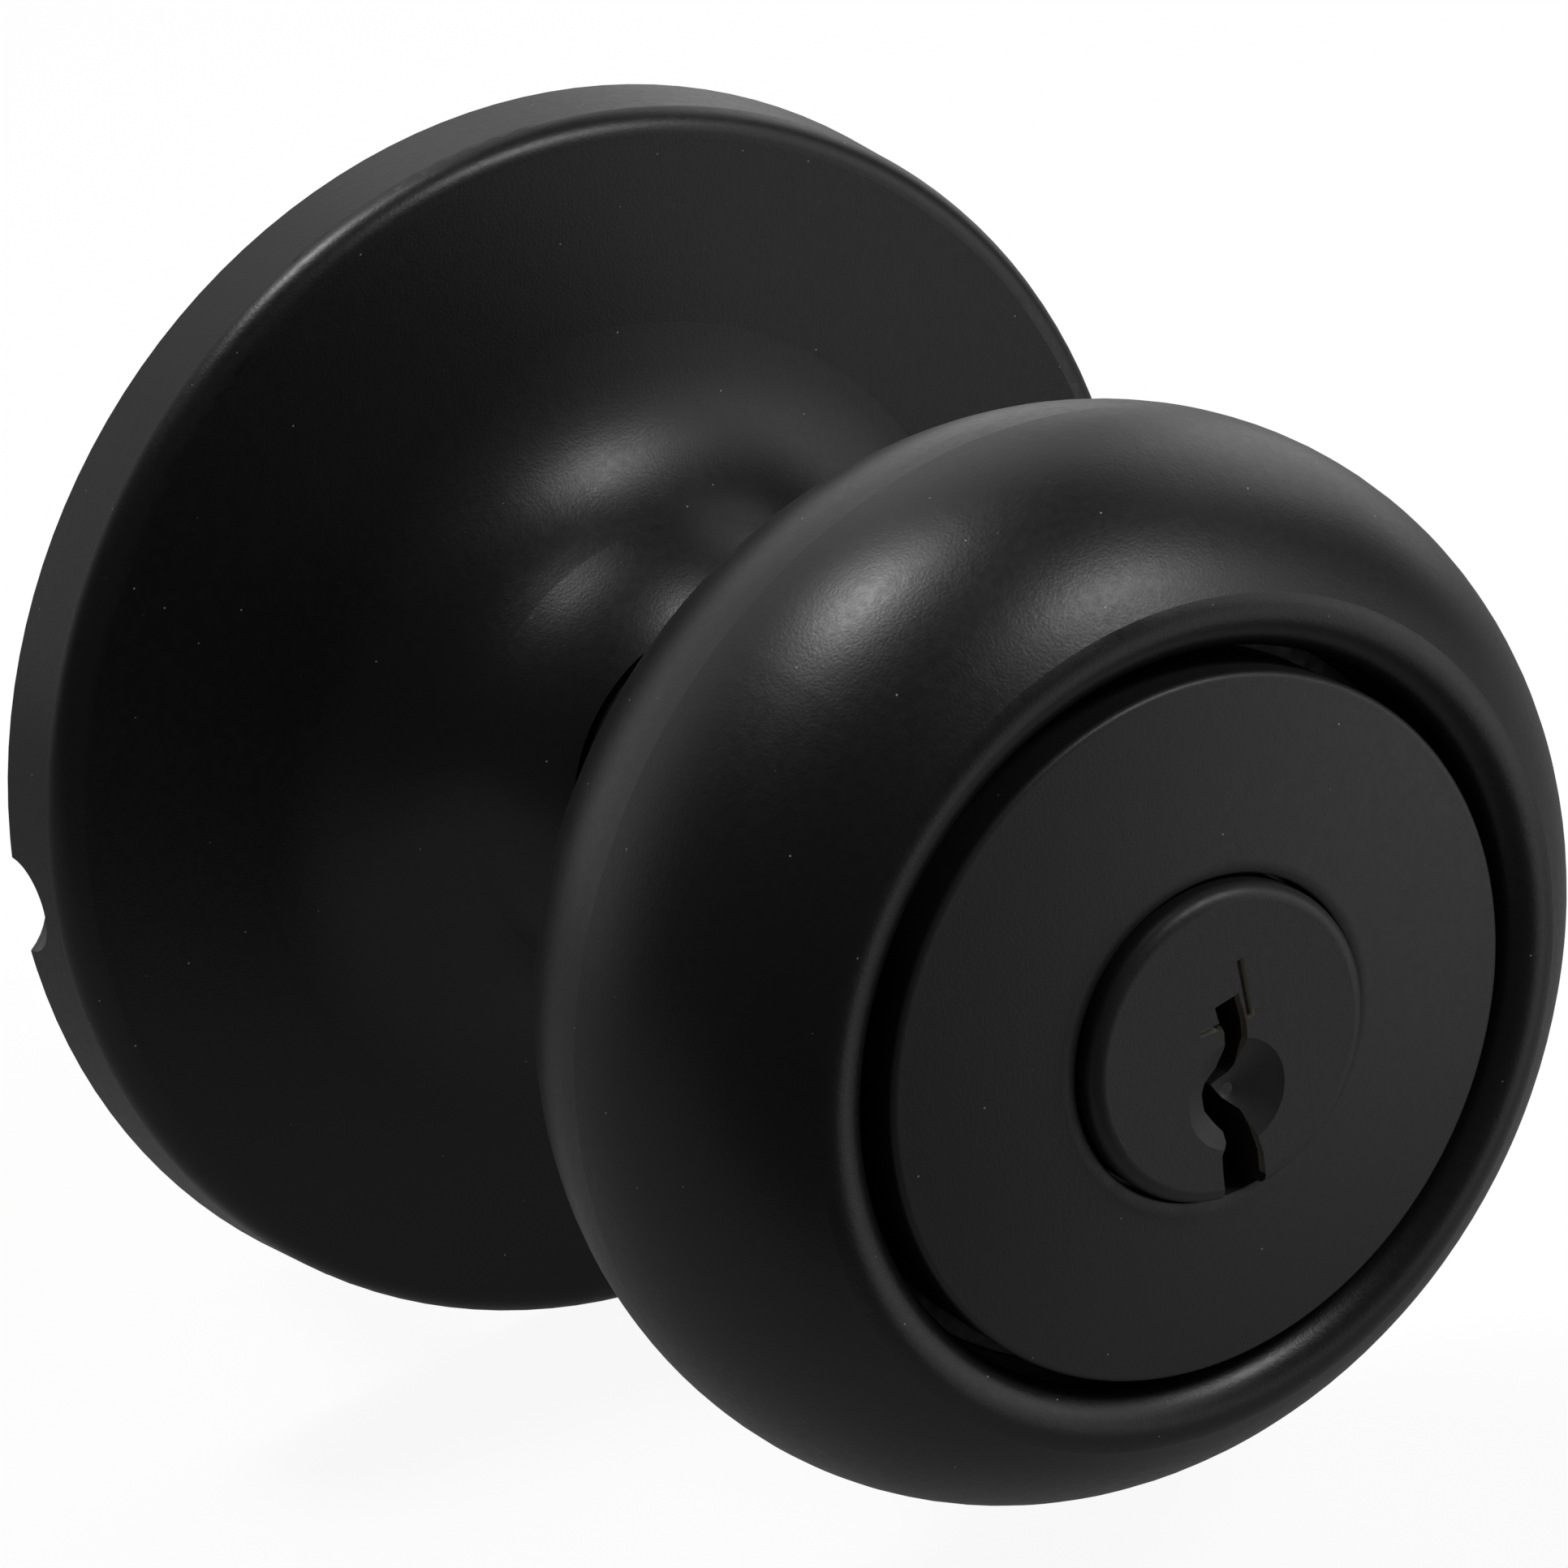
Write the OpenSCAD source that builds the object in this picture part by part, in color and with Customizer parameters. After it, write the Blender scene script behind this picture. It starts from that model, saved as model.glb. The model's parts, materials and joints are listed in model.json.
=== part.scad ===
// Keyed entry door knob, outside half of a tubular lockset.
// The door's face is the plane Y = 0, the knob points along -Y and +Z is up.
// Every module is drawn on its own axis first: z is the height above the door's face,
// x runs across and y runs up. outward() then turns it to face out of the door.

/* [Rose] */
// Diameter of the rose at its front edge
rose_d = 66; // [63:0.5:72]
// Height of the rose's flat face above the door
rim_h = 5.2; // [5:0.1:6.4]
// How much wider the rose is at the door than at its front edge, on radius
rim_draft = 0.4; // [0:0.1:1]
// Thickness of the rose's sheet
rose_wall = 1; // [0.8:0.1:1.3]
// Rounding of the rose's front edge
rim_round = 1.5; // [1.4:0.1:2]
// Radius of the hollow curve from the face up to the dome
cove_r = 11; // [10:0.25:12]
// Slope of the dome's side
side_slope = 57; // [55:1:58]
// Radius of the dome's rounded shoulder
shoulder_r = 13; // [11:0.5:15]
// Slope of the dome where the neck's opening cuts it
mouth_slope = 37; // [35:1:39]
// Height of the opening's edge above the rose's face
dome_rise = 9.4; // [9:0.1:10.4]
// Radius of the pry notch pressed into the rose's back edge
notch_r = 3.3; // [2.8:0.1:4]
// Depth of the pry notch, from the rim inwards
notch_depth = 1.4; // [1:0.1:1.8]

/* [Knob] */
// Largest diameter of the knob
knob_d = 52.9; // [52.1:0.2:55.9]
// Height of the knob's widest circle above the door
knob_mid_h = 45.1; // [44.1:0.2:48.1]
// Radius of the knob's outline in front of its widest circle
front_round = 12.8; // [12.3:0.1:13.4]
// Radius of the knob's outline behind its widest circle
back_round = 13.9; // [13:0.1:14.6]
// Diameter of the knob's neck
neck_d = 17.2; // [17:0.2:19]
// Radius of the hollow curve from the neck to the knob's back
neck_round = 10; // [9:0.5:12]
// Thickness of the knob's sheet
knob_wall = 1; // [0.8:0.1:1.1]
// Thinnest wall of the core between its bore and the knob's sheet
insert_wall = 0.7; // [0.5:0.1:1.2]
// Diameter of the recess in the knob's front
recess_d = 35.4; // [34.4:0.1:36]
// Depth of the recess below the lip
recess_depth = 6.6; // [5:0.2:8]
// Rounding of the lip round the recess
lip_round = 1.8; // [1.4:0.1:2.1]

/* [Face plate] */
// Gap between the face plate and the recess, on radius
plate_gap = 0.8; // [0.5:0.1:1.1]
// Height of the face plate's middle above the crest of the knob's lip
plate_rise = 1.3; // [0.9:0.1:1.8]
// How far the face plate's middle stands in front of its edge
plate_crown = 0.9; // [0.5:0.1:1.2]
// Thickness of the face plate at its middle
plate_t = 2; // [1.6:0.1:2.4]
// Rounding of the face plate's edge
plate_round = 1; // [0.6:0.1:1.2]
// Thickness of the face plate's skirt
skirt_t = 1.2; // [0.8:0.1:1.5]

/* [Plug] */
// Diameter of the plug's head
plug_head_d = 15.2; // [14.6:0.1:16]
// How far the plug's head stands in front of the face plate
plug_proud = 0.8; // [0.3:0.1:1.2]
// Rounding of the plug head's edge
plug_head_round = 0.7; // [0.4:0.1:1]
// Gap between the plug's head and the face plate, on radius
head_gap = 0.45; // [0.3:0.05:0.6]
// Diameter of the plug's body
plug_d = 12.7; // [12:0.1:13]
// Length of the plug from the front of its head to its back end
plug_len = 28.4; // [27.6:0.2:28.8]
// Mouth diameter of the dimple that guides the key
dimple_d = 5.4; // [4:0.2:6]
// Depth of the dimple
dimple_depth = 0.8; // [0.4:0.1:1.2]

/* [Pins] */
// Number of pin stacks
pin_count = 5; // [4:1:5]
// Distance between pin stacks
pin_pitch = 3.81; // [3.6:0.01:3.9]
// Distance of the first pin stack behind the plug's front
first_pin = 6.3; // [6:0.1:7]
// Diameter of the pins
pin_d = 2.9; // [2.6:0.1:3]
// Length of the driver pins
driver_len = 2.9; // [2.4:0.1:3.2]
// Wire diameter of the pin springs
pin_wire = 0.28; // [0.2:0.02:0.32]

/* [Cylinder housing] */
// Diameter of the housing's barrel
barrel_d = 17.2; // [16.4:0.2:17.6]
// Height of the pin tower above the axis
tower_h = 12.9; // [12.6:0.1:13.1]
// Width of the pin tower
tower_w = 7.6; // [7:0.2:8]
// Thickness of the strip that closes the pin tower
strip_t = 0.6; // [0.4:0.1:0.8]

/* [Shank and spindle] */
// Outer diameter of the shank
shank_d = 14; // [13.6:0.1:14.4]
// Thickness of the shank's wall
shank_wall = 1.6; // [1.3:0.1:1.9]
// Length of the shank behind the drive plate
shank_tail = 1.2; // [0.6:0.1:3]
// Outer diameter of the half-round drive spindle
spindle_d = 9.6; // [9:0.1:10]
// Thickness of the spindle's wall
spindle_wall = 1.5; // [1.2:0.1:1.8]
// Length of the spindle behind the door's face
spindle_tail = 52; // [40:1:56]
// Width of the tailpiece's blade
blade_w = 5; // [4:0.2:5.6]
// Thickness of the tailpiece's blade
blade_t = 1.4; // [1:0.1:2]
// Length of the tailpiece behind the door's face
blade_tail = 48; // [36:1:54]

/* [Mounting plate] */
// Thickness of the mounting plate
mount_t = 2; // [1.6:0.1:2.6]
// Depth of the hub that carries the bush, from the plate's front
hub_h = 10; // [9:0.2:10.4]
// Thickness of the hub's wall
hub_wall = 1.3; // [1:0.1:1.5]
// Thickness of the bush's wall
bush_wall = 1.4; // [1.1:0.1:1.6]
// Distance between the two screw posts
post_spacing = 41.3; // [40:0.1:42]
// Diameter of the screw posts
post_d = 7.6; // [7:0.2:8.2]
// Length of the screw posts behind the door's face
post_tail = 19; // [14:0.5:19.5]
// Diameter of the threaded hole in each post
post_bore_d = 4.2; // [3.8:0.1:4.6]
// Depth of the threaded hole in each post
post_bore_depth = 15; // [10:0.5:17]

/* [Return spring] */
// Wire diameter of the return spring
spring_wire = 1.2; // [0.8:0.1:1.3]
// Number of turns in the return spring
spring_turns = 4; // [3:1:4]
// Length of the return spring's coil along the knob's axis
spring_len = 6; // [5.6:0.2:6.6]
// Thickness of the spring cage's sheet
cage_wall = 1; // [0.8:0.1:1.2]
// Depth of the spring cage
cage_h = 7.6; // [7:0.2:8]
// Thickness of the drive plate
drive_t = 1.2; // [1:0.1:1.4]

/* [Fits] */
// Running clearance on radius, where one piece turns in another
run_fit = 0.05; // [0.03:0.01:0.1]
// Clearance on radius between pieces that stay put
seat_fit = 0.05; // [0.02:0.01:0.1]
// Clearance between faces that slide past each other
face_fit = 0.2; // [0.15:0.05:0.3]
// Clearance on radius between the neck and the dome's opening
neck_fit = 0.35; // [0.3:0.05:0.5]

/* [Hidden] */
$fn = 96;
tiny = 0.01;
// Longer than anything it is used to cut
past = 100;
black = [0.09, 0.09, 0.1];
zinc = [0.66, 0.68, 0.7];
steel = [0.56, 0.57, 0.59];
brass = [0.78, 0.62, 0.34];
nylon = [0.87, 0.86, 0.82];

// Rose
rose_r = rose_d / 2;
rose_inner_r = rose_r - rose_wall;
neck_r = neck_d / 2;
dome_top = rim_h + dome_rise;
dome_hole_r = neck_r + neck_fit;
shoulder_x = dome_hole_r - shoulder_r * sin(mouth_slope);
shoulder_z = dome_top - shoulder_r * cos(mouth_slope);
cove_z = rim_h + cove_r;
side_rise = shoulder_z - cove_z + (shoulder_r + cove_r) * cos(side_slope);
cove_x = shoulder_x + (shoulder_r + cove_r) * sin(side_slope) + side_rise / tan(side_slope);

// Knob
knob_r = knob_d / 2;
front_x = knob_r - front_round;
back_x = knob_r - back_round;
fillet_x = neck_r + neck_round;
fillet_z = knob_mid_h - sqrt(pow(back_round + neck_round, 2) - pow(fillet_x - back_x, 2));
neck_bottom = dome_top - 3;
recess_r = recess_d / 2;
lip_x = recess_r + lip_round;
lip_z = knob_mid_h + sqrt(pow(front_round - lip_round, 2) - pow(lip_x - front_x, 2));
lip_top = lip_z + lip_round;
recess_z = lip_top - recess_depth;
core_z = knob_mid_h - back_round + knob_wall + 0.6;
insert_bottom = fillet_z + 1;
insert_flange = 1.6;
rib_count = 6;
rib_t = 1.6;

// Face plate and plug
plate_r = recess_r - plate_gap;
plate_h = lip_top + plate_rise;
crown_r = (pow(plate_r, 2) + pow(plate_crown, 2)) / (2 * plate_crown);
crown_z = plate_h - crown_r;
edge_x = plate_r - plate_round;
edge_z = crown_z + sqrt(pow(crown_r - plate_round, 2) - pow(edge_x, 2));
plate_back = plate_h - plate_t;
plug_head_r = plug_head_d / 2;
plug_front = plate_h + plug_proud;
plug_r = plug_d / 2;
plug_back = plug_front - plug_len;
housing_front = plate_back - seat_fit;
plug_shoulder = housing_front + face_fit;

slot_depth = 2.4;
head_w = 9;
clip_depth = 0.75;
clip_mouth = 6;

// Housing and pins
barrel_r = barrel_d / 2;
clip_t = 0.8;
clip_z = plug_back + 1.2;
housing_back = clip_z + clip_t + face_fit;
pin_r = pin_d / 2;
chamber_r = pin_r + run_fit;
shear_r = plug_r + run_fit;
pin_z = [for (i = [0 : pin_count - 1]) plug_front - first_pin - i * pin_pitch];
tower_front = pin_z[0] + chamber_r + 1;
tower_back = pin_z[pin_count - 1] - chamber_r - 0.6;
key_pin_low = [2.1, 2.7, 1.9, 3, 2.4];
key_pin_top = sqrt(pow(plug_r, 2) - pow(pin_r, 2)) - 0.05;
driver_low = shear_r + 0.05;
strip_low = tower_h - strip_t - 0.3;
strip_w = 2 * chamber_r + 1;

core_r = tower_h + 2.2;

// Shank, spindle and what turns with them
shank_r = shank_d / 2;
shank_bore_r = shank_r - shank_wall;
web_t = 1.4;
shank_top = plug_back - 1.6 - web_t;
spindle_r = spindle_d / 2;
spindle_bore_r = spindle_r - spindle_wall;
spindle_chamfer = 0.8;
collar_top = shank_top - 1;
collar_t = 6;
cross_pin_z = collar_top - collar_t / 2;
web_hole_r = head_w / 2 + 0.8;
cross_pin_r = 1;
washer_t = 0.8;
ring_t = 1;
washer_z = mount_t + face_fit;
ring_z = washer_z + washer_t + 0.1;
ring_groove = 0.7;

// Mounting plate and spring
bush_bore_r = shank_r + run_fit;
bush_r = bush_bore_r + bush_wall;
hub_bore_r = bush_r + seat_fit;
hub_r = hub_bore_r + hub_wall;
flange_t = 0.7;
drive_z = hub_h + flange_t + face_fit;
shank_back = mount_t - drive_z - drive_t - shank_tail;
coil_r = hub_r + 0.4 + spring_wire / 2;
coil_z = mount_t + cage_wall + 0.1 + spring_wire / 2;
cage_in_r = coil_r + spring_wire / 2 + 0.4;
cage_r = cage_in_r + cage_wall;
arm_r = cage_r + 1.5;
arm_half = 6;
tang_half = 12;
window_half = 19;
ear_r = cage_r + 4;
screw_r = 1.25;
post_x = post_spacing / 2;
post_r = post_d / 2;
post_neck_r = 2.6;
ear_angles = [45, 135, 270];

// Turns a piece from its own axis to face out of the door
module outward() {
    rotate([90, 0, 0]) children();
}

// Turns a piece to stand behind the mounting plate, where z is the depth behind its front
module behind() {
    translate([0, 0, mount_t]) rotate([180, 0, 0]) children();
}

// Ring of rectangular section
module ring(r_in, r_out, z0, z1) {
    translate([0, 0, z0])
        difference() {
            cylinder(r = r_out, h = z1 - z0);
            translate([0, 0, -1]) cylinder(r = r_in, h = z1 - z0 + 2);
        }
}

// Round bar along y, for pins that stand up from the axis
module upright(r, y0, y1, z) {
    translate([0, y0, z]) rotate([-90, 0, 0]) cylinder(r = r, h = y1 - y0);
}

// Pin along y with both ends broken
module pin(z, low, high, low_tip, high_tip = 0.25) {
    upright(pin_r, low + low_tip, high - high_tip, z);
    translate([0, low, z]) rotate([-90, 0, 0])
        cylinder(r1 = pin_r - min(low_tip, 0.9), r2 = pin_r, h = low_tip);
    translate([0, high - high_tip, z]) rotate([-90, 0, 0])
        cylinder(r1 = pin_r, r2 = pin_r - high_tip, h = high_tip);
}

// Wire wound round the z axis, as one closed skin
module coil(r, wire_r, length, sweep, start = 0, step = 12, sides = 8) {
    steps = ceil(sweep / step);
    points = [for (i = [0 : steps], k = [0 : sides - 1])
        let (a = start + sweep * i / steps, b = 360 * k / sides, q = r + wire_r * cos(b))
        [q * cos(a), q * sin(a), length * i / steps + wire_r * sin(b)]];
    skin = [for (i = [0 : steps - 1], k = [0 : sides - 1])
        let (n = (k + 1) % sides, p = i * sides)
        [p + k, p + n, p + sides + n, p + sides + k]];
    first = [for (k = [sides - 1 : -1 : 0]) k];
    last = [for (k = [0 : sides - 1]) steps * sides + k];
    polyhedron(points = points, faces = concat(skin, [first, last]), convexity = 10);
}

// Outline of the rose seen from the side, inset by a thickness
module rose_outline(inset = 0, draft = 0, base = 0) {
    polygon([[0, base], [rose_r + draft - inset, base], [rose_r - inset, rim_h - rim_round],
        [rose_r - rim_round, rim_h - inset], [0, rim_h - inset]]);
    translate([rose_r - rim_round, rim_h - rim_round]) circle(r = rim_round - inset);
    // The side's straight stretch runs from the hollow curve to the shoulder
    low = [cove_x, cove_z] - (cove_r + inset) * [sin(side_slope), cos(side_slope)];
    high = [shoulder_x, shoulder_z] + (shoulder_r - inset) * [sin(side_slope), cos(side_slope)];
    difference() {
        polygon([[0, base], [cove_x, base], [cove_x, low.y], low, high, [0, high.y]]);
        translate([cove_x, cove_z]) circle(r = cove_r + inset);
    }
    intersection() {
        translate([shoulder_x, shoulder_z]) circle(r = shoulder_r - inset);
        square(past);
    }
}

// Outline of the knob seen from the side, inset by a thickness
module knob_outline(inset = 0, base = 0) {
    intersection() {
        translate([front_x, knob_mid_h]) circle(r = front_round - inset);
        translate([front_x, knob_mid_h]) square(front_round);
    }
    translate([0, knob_mid_h]) square([front_x, front_round - inset]);
    intersection() {
        translate([back_x, knob_mid_h]) circle(r = back_round - inset);
        translate([back_x, knob_mid_h - back_round]) square(back_round);
    }
    translate([0, knob_mid_h - back_round + inset]) square([back_x, back_round - inset]);
    difference() {
        polygon([[0, fillet_z], [fillet_x, fillet_z], [back_x, knob_mid_h], [0, knob_mid_h]]);
        translate([fillet_x, fillet_z]) circle(r = neck_round + inset);
    }
    translate([0, base]) square([neck_r - inset, fillet_z - base + tiny]);
}

// What is cut from the knob's front edge to leave a rounded lip
module lip_corner() {
    reach = front_round - lip_round;
    ux = (lip_x - front_x) / reach;
    uz = (lip_z - knob_mid_h) / reach;
    difference() {
        polygon([[recess_r - 1, lip_z], [lip_x, lip_z], [lip_x + 4 * ux, lip_z + 4 * uz],
            [recess_r - 1, lip_z + 5]]);
        translate([lip_x, lip_z]) circle(r = lip_round);
    }
}

// Ball that presses the pry notch into the back edge of the rose
module notch_ball(extra = 0) {
    translate([-rose_r - rim_draft - notch_r + notch_depth, 0, 0]) sphere(r = notch_r + extra);
}

// Stamped cover against the door: rim, hollow curve, dome and pry notch
module rose_cover() {
    color(black) outward() difference() {
        union() {
            rotate_extrude() difference() {
                rose_outline(draft = rim_draft);
                rose_outline(inset = rose_wall, base = -1);
                translate([0, rim_h]) square([dome_hole_r, past]);
                translate([0, -1]) square([tiny, dome_top + 2]);
            }
            // Sheet that goes in with the notch
            intersection() {
                notch_ball(rose_wall);
                cylinder(r1 = rose_r + rim_draft, r2 = rose_r, h = rim_h - rim_round);
            }
        }
        notch_ball();
    }
}

// Plate that is clamped to the door, with the hub for the bush
module mounting_plate() {
    color(zinc) outward() difference() {
        union() {
            cylinder(r = rose_inner_r - seat_fit, h = mount_t);
            behind() cylinder(r = hub_r, h = hub_h);
        }
        behind() translate([0, 0, -1]) cylinder(r = hub_bore_r, h = hub_h + 2);
        for (side = [-1, 1])
            translate([side * post_x, 0, -1]) cylinder(r = post_neck_r + seat_fit, h = mount_t + 2);
        behind() for (a = ear_angles)
            rotate(a) translate([ear_r, 0, -1]) cylinder(r = screw_r + seat_fit, h = mount_t + 2);
        // Room for the pry notch
        translate([0, 0, -mount_t]) linear_extrude(3 * mount_t)
            translate([-rose_r - rim_draft - notch_r + notch_depth, 0])
                circle(r = notch_r + rose_wall + 0.3);
    }
}

// Post with a threaded hole for a through screw, riveted to the mounting plate
module screw_post(side) {
    color(steel) outward() translate([side * post_x, 0, 0]) difference() {
        union() {
            translate([0, 0, -post_tail]) cylinder(r = post_r, h = post_tail);
            cylinder(r = post_neck_r, h = mount_t + tiny);
            translate([0, 0, mount_t]) cylinder(r1 = post_neck_r + 0.8, r2 = post_neck_r, h = 1);
        }
        translate([0, 0, -post_tail - 1]) cylinder(r = post_bore_d / 2, h = post_bore_depth + 1);
        translate([0, 0, -post_tail - tiny])
            cylinder(r1 = post_bore_d / 2 + 0.5, r2 = post_bore_d / 2, h = 0.5);
    }
}

module left_screw_post() {
    screw_post(-1);
}

module right_screw_post() {
    screw_post(1);
}

// Flanged bush that the shank turns in
module bearing_bush() {
    color(nylon) outward() behind() {
        ring(bush_bore_r, bush_r, 0, hub_h + flange_t);
        ring(bush_r - tiny, hub_r, hub_h, hub_h + flange_t);
    }
}

// Cup that holds the return spring, with three ears for its screws
module spring_cage() {
    color(steel) outward() behind() translate([0, 0, mount_t]) difference() {
        union() {
            cylinder(r = cage_r, h = cage_h);
            for (a = ear_angles) rotate(a) {
                translate([ear_r, 0, 0]) cylinder(r = screw_r + 1.4, h = cage_wall);
                translate([0, -screw_r - 1.4, 0]) cube([ear_r, 2 * screw_r + 2.8, cage_wall]);
            }
        }
        translate([0, 0, -1]) cylinder(r = hub_r + seat_fit, h = cage_h + 2);
        translate([0, 0, cage_wall]) cylinder(r = cage_in_r, h = cage_h);
        for (a = ear_angles)
            rotate(a) translate([ear_r, 0, -1]) cylinder(r = screw_r + seat_fit, h = cage_wall + 2);
        // Window for the spring's two ends
        translate([0, 0, cage_wall]) linear_extrude(cage_h)
            polygon([[0, 0], for (s = [1, -1]) 2 * cage_r * [s * sin(window_half), cos(window_half)]]);
    }
}

// Three screws that hold the spring cage
module cage_screws() {
    head_z = mount_t + cage_wall;
    color(steel) outward() behind()
        for (a = ear_angles) rotate(a) translate([ear_r, 0, 0]) difference() {
            union() {
                cylinder(r = screw_r, h = head_z + tiny);
                translate([0, 0, head_z]) cylinder(r = screw_r + 0.7, h = 1);
            }
            translate([-3, -0.25, head_z + 0.6]) cube([6, 0.5, 1]);
        }
}

// Torsion spring whose two ends stand either side of the drive plate's tab
module return_spring() {
    wire_r = spring_wire / 2;
    color(steel) outward() behind() translate([0, 0, coil_z]) {
        coil(coil_r, wire_r, spring_len, 360 * spring_turns - 2 * tang_half, start = 90 + tang_half);
        for (end = [[tang_half, 0], [-tang_half, spring_len]])
            rotate(90 + end[0]) translate([coil_r - 0.2, 0, end[1]])
                rotate([0, 90, 0]) cylinder(r = wire_r * 0.96, h = arm_r - coil_r, $fn = 8);
    }
}

// Spun skin of the knob, with its neck and the recess for the face plate
module knob_shell() {
    color(black) outward() rotate_extrude() difference() {
        union() {
            difference() {
                knob_outline(base = neck_bottom);
                knob_outline(inset = knob_wall, base = neck_bottom - 1);
            }
            intersection() {
                union() {
                    translate([recess_r, recess_z]) square([knob_wall, recess_depth]);
                    translate([lip_x, lip_z]) circle(r = lip_round);
                }
                knob_outline();
            }
        }
        translate([0, recess_z]) square([recess_r, past]);
        lip_corner();
        square([tiny, 90]);
    }
}

// Core that fills the neck and carries the lock cylinder
module knob_insert() {
    bore = barrel_r + seat_fit;
    color(zinc) outward() difference() {
        union() {
            rotate_extrude() intersection() {
                knob_outline(inset = knob_wall + seat_fit, base = insert_bottom);
                translate([0, insert_bottom]) square([past, core_z - insert_bottom + tiny]);
            }
            translate([0, 0, core_z]) cylinder(r = core_r, h = recess_z - core_z + tiny);
            translate([0, 0, recess_z]) cylinder(r = recess_r - seat_fit, h = insert_flange);
            cylinder_support();
            for (i = [0 : rib_count - 1]) rotate(90 + (i + 0.5) * 360 / rib_count)
                translate([0, -rib_t / 2, core_z + 1])
                    cube([recess_r - 2 * seat_fit, rib_t, recess_z - core_z]);
        }
        translate([0, 0, insert_bottom - 1])
            cylinder(r = shank_r + seat_fit, h = shank_top + 1 - insert_bottom);
        translate([0, 0, insert_bottom - 1]) cylinder(r = web_hole_r, h = past);
        // Bore for the barrel, which narrows where the neck's sheet would leave too thin a wall
        rotate_extrude() intersection() {
            translate([0, shank_top + web_t]) square([bore, past]);
            union() {
                knob_outline(inset = knob_wall + seat_fit + insert_wall, base = insert_bottom);
                translate([0, knob_mid_h]) square(2 * past);
            }
        }
        // Slot for the pin tower, open to the front
        translate([-tower_w / 2 - seat_fit, 0, tower_back - seat_fit])
            cube([tower_w + 2 * seat_fit, tower_h + seat_fit, past]);
    }
}

// Collar in front of the core that steadies the barrel under the face plate
module cylinder_support() {
    translate([0, 0, recess_z + insert_flange - tiny])
        cylinder(r = barrel_r + 2, h = plate_back - seat_fit - recess_z - insert_flange);
}

// Round plate in the knob's front, round the plug's head
module face_plate() {
    hole_r = plug_head_r + head_gap;
    skirt_low = recess_z + insert_flange + seat_fit;
    hole_h = crown_z + sqrt(pow(crown_r, 2) - pow(hole_r, 2));
    color(black) outward() rotate_extrude() difference() {
        union() {
            intersection() {
                translate([hole_r, plate_back])
                    square([edge_x * crown_r / (crown_r - plate_round) - hole_r, plate_t]);
                translate([0, crown_z]) circle(r = crown_r);
            }
            translate([edge_x, edge_z]) circle(r = plate_round);
            translate([plate_r - skirt_t, skirt_low]) square([skirt_t, edge_z - skirt_low]);
        }
        // Broken edge round the plug's head
        translate([hole_r, hole_h]) rotate(45) square(0.3, center = true);
    }
}

// Tube that joins the knob to the drive plate and turns in the bush
module shank() {
    color(zinc) outward() difference() {
        ring(shank_bore_r, shank_r, shank_back, shank_top);
        ring(shank_r - ring_groove, shank_r + 1, ring_z - seat_fit, ring_z + ring_t + seat_fit);
        translate([0, 0, cross_pin_z]) rotate([0, 90, 0])
            cylinder(r = cross_pin_r + seat_fit, h = 3 * shank_r, center = true);
    }
}

// Plate fixed on the shank, with the tab that winds the return spring
module drive_plate() {
    tab_low = coil_z - spring_wire / 2;
    color(steel) outward() behind() {
        ring(shank_r + seat_fit, cage_r, drive_z, drive_z + drive_t);
        intersection() {
            difference() {
                ring(cage_r - tiny, arm_r, tab_low, drive_z + drive_t);
                ring(cage_r - 1, cage_r + 0.4, tab_low - 1, drive_z);
            }
            linear_extrude(past)
                polygon([[0, 0], for (s = [1, -1]) 2 * arm_r * [s * sin(arm_half), cos(arm_half)]]);
        }
    }
}

// Half-round spindle that drives the latch, on the collar that fits the shank
module drive_spindle() {
    length = spindle_tail + collar_top;
    color(steel) outward() difference() {
        union() {
            intersection() {
                translate([0, 0, -spindle_tail]) union() {
                    cylinder(r1 = spindle_r - spindle_chamfer, r2 = spindle_r, h = spindle_chamfer);
                    translate([0, 0, spindle_chamfer]) cylinder(r = spindle_r, h = length - spindle_chamfer);
                }
                translate([-spindle_d, 0, -past]) cube([2 * spindle_d, spindle_d, 2 * past]);
            }
            translate([0, 0, collar_top - collar_t])
                cylinder(r = shank_bore_r - seat_fit, h = collar_t);
        }
        translate([0, 0, -past]) cylinder(r = spindle_bore_r, h = 2 * past);
        translate([0, 0, cross_pin_z]) rotate([0, 90, 0])
            cylinder(r = cross_pin_r + seat_fit, h = 3 * shank_r, center = true);
    }
}

// Two short pins that lock the spindle's collar into the shank
module spindle_pins() {
    color(steel) outward() for (side = [-1, 1]) rotate(side * 90) rotate([-90, 0, 0])
        translate([0, -cross_pin_z, spindle_bore_r + 0.6])
            cylinder(r = cross_pin_r, h = shank_r - spindle_bore_r - 0.75);
}

// Washer between the mounting plate and the snap ring
module thrust_washer() {
    color(steel) outward() ring(shank_r + run_fit, hub_r + 1, washer_z, washer_z + washer_t);
}

// Open ring in the shank's groove, with two eyes for the pliers
module snap_ring() {
    inner = shank_r - ring_groove + seat_fit;
    eye_r = 1.4;
    color(steel) outward() translate([0, 0, ring_z]) difference() {
        union() {
            ring(inner, shank_r + 1.6, 0, ring_t);
            for (side = [-1, 1]) rotate(-90 + side * 15)
                translate([inner + eye_r + 0.6, 0, 0]) cylinder(r = eye_r, h = ring_t);
        }
        for (side = [-1, 1]) rotate(-90 + side * 15)
            translate([inner + eye_r + 0.9, 0, -1]) cylinder(r = 0.6, h = ring_t + 2);
        translate([0, 0, -1]) linear_extrude(ring_t + 2)
            polygon([[0, 0], for (s = [-1, 1]) 2 * shank_r * [s * sin(9), -cos(9)]]);
    }
}

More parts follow.
